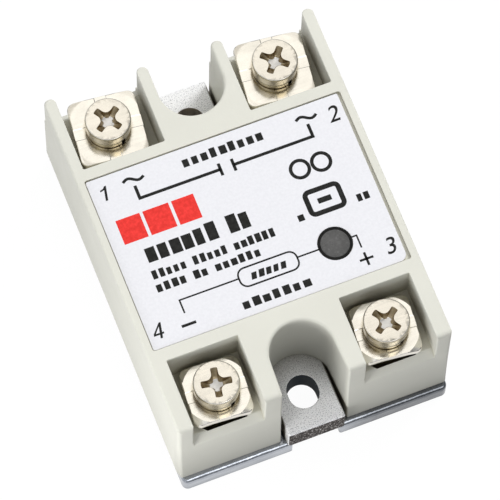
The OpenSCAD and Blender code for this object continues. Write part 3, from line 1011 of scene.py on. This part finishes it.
def build_print():
    """Circuit lines, signs and terminal numbers; plain blocks and rings stand where words and marks would be."""
    black = Print()
    heavy, light = 0.5, 0.26
    # contact symbol between the load terminals
    for terminal_x, bar_x in ((-14.03, -0.8), (14.48, 1.37)):
        black.stroke([(terminal_x, 11.5), (terminal_x, 9.3), (bar_x, 9.3)], heavy)
        black.bar(bar_x - 0.24, bar_x + 0.24, 8.25, 10.33)
        black.stroke(tilde(terminal_x + 0.15, 12.55, 3.4, 0.75), 0.46)
    # signal side: rounded box, leads, indicator ring, polarity signs
    box_x, box_y, box_w, box_h, corner = 0.07, -8.6, 9.55, 3.08, 1.2
    black.loop(frame_points(box_x - box_w / 2, box_x + box_w / 2,
                            box_y - box_h / 2, box_y + box_h / 2, corner, 6), 0.28)
    black.stroke([(box_x - box_w / 2, -8.45), (-14.4, -8.45), (-14.4, -10.67)], light)
    black.stroke([(box_x + box_w / 2, -8.4), (WINDOW[0] - WINDOW_R - 0.05, -8.4)], light)
    black.stroke([(WINDOW[0] + WINDOW_R + 0.05, -8.3), (14.62, -8.3), (14.62, -10.44)], light)
    black.bar(-15.6, -13.27, -12.8, -12.35)
    plus_x = 14.65
    black.bar(plus_x - 1.1, plus_x + 1.1, -12.59, -12.21)
    black.bar(plus_x - 0.19, plus_x + 0.19, -13.5, -11.3)
    # plain blocks where the lettering was
    black.words(-5.9, 7.7, 11.55, 13.15, (9,), seed=3)
    black.words(-16.5, 0.85, -1.15, 1.85, (6, 2), fill=0.8, seed=5)
    black.words(-16.8, 3.5, -3.95, -2.5, (5, 5, 6), seed=7)
    black.words(-16.95, 0.3, -6.15, -4.75, (4, 2, 6), seed=9)
    black.words(-2.9, 3.1, -9.35, -7.95, (5,), slant=0.25, seed=11)
    black.words(-5.7, 5.8, -13.45, -11.95, (7,), seed=13)
    # plain marks
    for centre in ((10.6, 4.95), (14.1, 4.95)):
        black.loop(arc(centre, 1.45, 0, 348, 29), 0.55)
    black.loop(frame_points(9.6, 15.0, -2.9, 0.9, 0.7, 5), 0.8)
    black.bar(11.2, 13.4, -1.45, -0.55)
    black.bar(7.3, 8.3, -3.15, -2.1)
    black.words(17.0, 19.2, -3.3, -1.9, (2,), seed=17)
    black.make("label_print_black", BLACK_INK)
    red = Print()
    x = -18.9
    for width in (3.9, 4.2, 3.6):
        red.bar(x, x + width, 2.95, 7.1)
        x += width + 0.5
    red.make("label_print_red", RED_INK)
    one = Print()
    stem, rise = 0.19, 2.4
    one.outline(leaning([(-stem, 0), (stem, 0), (stem, rise), (-0.1, rise), (-0.36, rise - 0.36), (-0.84, rise - 0.5),
                         (-0.84, rise - 0.76), (-0.4, rise - 0.68), (-stem, rise - 0.6)], -18.86, 10.72))
    one.make("print_number_1", BLACK_INK)
    four = Print()
    rise, bar_low, bar_high = 2.5, 0.6, 0.9
    four.pierced(leaning([(-stem, 0), (stem, 0), (stem, bar_low), (0.47, bar_low), (0.47, bar_high), (stem, bar_high),
                          (stem, rise), (-0.12, rise), (-1.16, bar_high + 0.05), (-1.16, bar_low), (-stem, bar_low)],
                         -19.06, -13.19),
                 leaning([(-stem, bar_high), (-stem, 1.93), (-0.84, bar_high)], -19.06, -13.19))
    four.make("print_number_4", BLACK_INK)
    for text, x, y, height in (("2", 18.95, 11.7, 2.68), ("3", 18.98, -11.7, 2.68)):
        numeral(text, x, y, height)


def build_window():
    """A dark rim round a faintly domed lens."""
    centre = (*WINDOW, LABEL_TOP)
    inner, outer, edge = WINDOW_R - 0.42, WINDOW_R - 0.02, WINDOW_R - 0.43
    ring = [(inner, -0.25), (outer, -0.25), (outer, 0.06), (outer - 0.05, 0.1), (inner + 0.06, 0.1), (inner, 0.03)]
    segments = 72
    rings = [spun(ring, 2 * math.pi * i / segments, centre) for i in range(segments)]
    place(from_bmesh("led_window_rim", tube(rings), RIM_INK), ROOT, "window_lens", "led_window")
    profile = [(0, -1.68), (2.3, -1.68), (2.3, -0.28), (edge, -0.28), (edge, 0.0),
               (2.1, 0.045), (1.4, 0.07), (0, 0.08)]
    lens = from_bmesh("led_window_lens", lathe(profile, centre=centre), LENS)
    place(lens, ROOT, "window_lens", "led_window")


build_label()
build_print()
build_window()


# ---------------------------------------------------------------- CAD nodes that stay

FINISHES = [
    (CONTACT, [f"terminal_contact_{number}" for number in TERMINALS]),
    (simple("ceramic", (0.80, 0.80, 0.76), (0.90, 0.90, 0.87), 0.5, scale=900), ["ceramic_substrate"]),
    (COPPER, ["copper_pads", "cathode_clips", "ac_strap_1", "ac_strap_2"]),
    (TIN, ["dc_lead_plus", "dc_lead_minus", "gate_pins"]),
    (simple("silicon", (0.10, 0.10, 0.13), (0.18, 0.18, 0.22), 0.25, 0.6, 700), ["thyristor_chips"]),
    (simple("potting", (0.030, 0.030, 0.034), (0.055, 0.055, 0.060), 0.35, scale=180, depth=0.15),
     ["potting_compound"]),
    (simple("board_laminate", (0.035, 0.14, 0.065), (0.055, 0.20, 0.095), 0.35, scale=700), ["circuit_board"]),
    (simple("optocoupler_epoxy", (0.035, 0.035, 0.037), (0.060, 0.060, 0.062), 0.5, scale=1400), ["optocoupler"]),
    (simple("transistor_epoxy", (0.028, 0.028, 0.030), (0.050, 0.050, 0.052), 0.45, scale=1400),
     ["input_transistor"]),
    (simple("resistor_lacquer", (0.55, 0.42, 0.26), (0.66, 0.52, 0.34), 0.4, scale=800),
     ["input_resistors", "gate_resistors"]),
    (simple("power_resistor_lacquer", (0.26, 0.33, 0.38), (0.34, 0.42, 0.48), 0.45, scale=800),
     ["snubber_resistor"]),
    (simple("capacitor_dip", (0.45, 0.06, 0.035), (0.58, 0.10, 0.06), 0.3, scale=600, depth=0.08),
     ["snubber_capacitor"]),
    (simple("led_epoxy", (0.50, 0.04, 0.03), (0.62, 0.07, 0.05), 0.15, scale=500), ["indicator_led"]),
]
for finish, nodes in FINISHES:
    for node in nodes:
        repaint(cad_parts[node], finish)


# ---------------------------------------------------------------- camera and light

def photo_camera():
    """A long lens from high over the signal end's left, turned slightly about its axis."""
    azimuth, elevation, roll = (math.radians(a) for a in (-23.447, 68.766, 2.175))
    distance, aim_height, aim_right, aim_up = 699.0, 11, 0.553, -0.318
    away = Vector((math.sin(azimuth) * math.cos(elevation), -math.cos(azimuth) * math.cos(elevation),
                   math.sin(elevation)))
    right = Vector((math.cos(azimuth), math.sin(azimuth), 0))
    up = away.cross(right)
    right, up = (right * math.cos(roll) + up * math.sin(roll), up * math.cos(roll) - right * math.sin(roll))
    target = Vector((0, 0, aim_height)) + right * aim_right + up * aim_up
    data = bpy.data.cameras.new("camera")
    data.sensor_width = 36.0
    data.lens = 324.20592
    data.clip_start = 0.01
    camera = bpy.data.objects.new("camera", data)
    bpy.context.scene.collection.objects.link(camera)
    turn = Matrix((right, up, away)).transposed().to_4x4()
    camera.matrix_world = Matrix.Translation((target + away * distance) * MM) @ turn
    bpy.context.scene.camera = camera


def soft_light(name, place_at, aim, size, energy):
    data = bpy.data.lights.new(name, "AREA")
    data.shape = "DISK"
    data.size = size
    data.energy = energy
    light = bpy.data.objects.new(name, data)
    bpy.context.scene.collection.objects.link(light)
    light.location = place_at
    light.rotation_euler = (Vector(aim) - Vector(place_at)).to_track_quat("-Z", "Y").to_euler()
    return light


def studio_world():
    """Soft uneven surroundings: brighter to the left, with a warm panel overhead and a small bright one in front."""
    world = bpy.data.worlds.new("studio")
    world.use_nodes = True
    g = Graph(world.node_tree, "Generated")

    def towards(direction, *stops):
        """Colour by how nearly a ray points in that direction."""
        dot = g.nodes.new("ShaderNodeVectorMath")
        dot.operation = "DOT_PRODUCT"
        dot.inputs[1].default_value = Vector(direction).normalized()
        g.links.new(g.coord, dot.inputs[0])
        return g.ramp(g.math("MULTIPLY_ADD", dot.outputs["Value"], 0.5, 0.5), *stops)

    room = towards((-0.72, 0.10, 0.35), (0.0, (0.15, 0.155, 0.16)), (1.0, (0.74, 0.75, 0.77)))
    patches = g.ramp(g.noise(4.5, 1.0, 0.5), (0.40, 0.45), (0.60, 1.50))
    panel = towards((0.10, 0.42, 0.90), (0.952, 0.0), (0.975, (0.50, 0.47, 0.41)))
    front = towards((0.20, -0.46, 0.86), (0.984, 0.0), (0.993, 2.2))
    sky = g.product(room, patches)
    for light in (panel, front):
        sky = g.mix(1.0, sky, light, "ADD")
    background = g.nodes["Background"].inputs
    g.links.new(sky, background["Color"])
    background["Strength"].default_value = 0.9
    bpy.context.scene.world = world


def studio_floor():
    """A plain floor that mostly glows by itself where it is seen or mirrored, so that it stays white."""
    bm = bmesh.new()
    bmesh.ops.create_grid(bm, x_segments=8, y_segments=8, size=3000)
    s = Shader("pale_floor")
    s.feed("Base Color", s.spread(s.noise(6, 3), 0.34, 0.36))
    s.set(Roughness=0.9, Specular_IOR_Level=0.1)
    glow = s.nodes.new("ShaderNodeEmission")
    seen = s.nodes.new("ShaderNodeLightPath")
    mirrored_share = s.math("MULTIPLY", seen.outputs["Is Glossy Ray"], 0.62)
    share = s.math("MULTIPLY_ADD", seen.outputs["Is Camera Ray"], 0.86, mirrored_share)
    glow.inputs["Strength"].default_value = 1.12
    blend = s.nodes.new("ShaderNodeMixShader")
    s.links.new(share, blend.inputs[0])
    s.links.new(s.bsdf.outputs[0], blend.inputs[1])
    s.links.new(glow.outputs[0], blend.inputs[2])
    s.links.new(blend.outputs[0], s.out.inputs[0])
    floor = from_bmesh("studio_floor", bm, s.material)
    floor.location = (0, 0, -0.0001)


def studio():
    bpy.context.scene.view_settings.view_transform = "Standard"
    studio_world()
    key = soft_light("key", (0.50, 0.30, 0.60), (0, 0, 0.01), 0.30, 4.5)
    near = soft_light("near_card", (-0.108, -0.068, 0.035), (-0.01, -0.01, 0.012), 0.06, 0.084)
    near.visible_camera = False
    for light in (key, near):
        light.visible_glossy = False
    studio_floor()


photo_camera()
studio()
